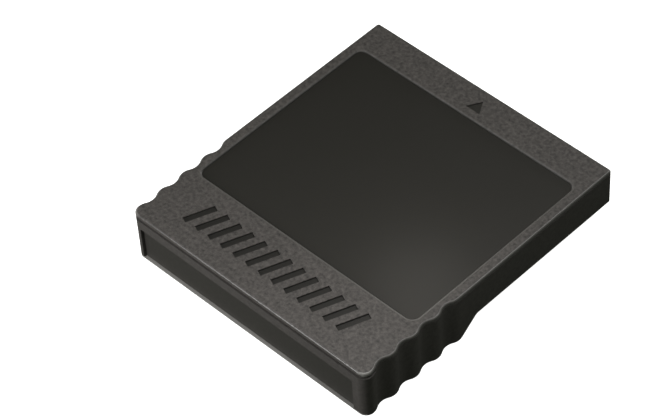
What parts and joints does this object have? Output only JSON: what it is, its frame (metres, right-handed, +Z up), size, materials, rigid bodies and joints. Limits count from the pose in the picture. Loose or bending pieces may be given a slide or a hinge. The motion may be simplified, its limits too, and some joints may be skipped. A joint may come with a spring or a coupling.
{
  "type": "console memory card",
  "caption": "Flat two-shell memory card with a thick wavy-sided handle, a shallow label recess, an insertion arrow and an edge connector in its nose.",
  "frame": {"origin": "middle of the card's footprint, level with the underside of its thick handle", "axes": "+Y is the way the card slides into the console, from handle to connector nose; +X across the card; +Z up, out of the label side"},
  "size_m": [0.042, 0.047, 0.0083],
  "materials": {
    "shell_plastic": "fine spark-eroded texture, with a smooth label recess",
    "plated_screw": "zinc plated",
    "board_laminate": "green solder mask on glass laminate",
    "gold_plating": "gold plated copper",
    "chip_resin": "moulded epoxy",
    "tinned_metal": "bright tin",
    "capacitor_ceramic": "fired ceramic",
    "resistor_glaze": "glazed",
    "reservoir_resin": "moulded resin"
  },
  "bodies": {
    "root": {"top_shell": "shell_plastic", "bottom_shell": "shell_plastic", "shell_screw": "plated_screw", "circuit_board": "board_laminate", "edge_contacts": "gold_plating", "memory_chip": "chip_resin", "memory_chip_leads": "tinned_metal", "controller_chip": "chip_resin", "controller_chip_leads": "tinned_metal", "bypass_capacitors": "capacitor_ceramic", "bypass_capacitors_ends": "tinned_metal", "pull_up_resistors": "resistor_glaze", "pull_up_resistors_ends": "tinned_metal", "reservoir_capacitor": "reservoir_resin", "reservoir_capacitor_ends": "tinned_metal"}
  },
  "joints": []
}
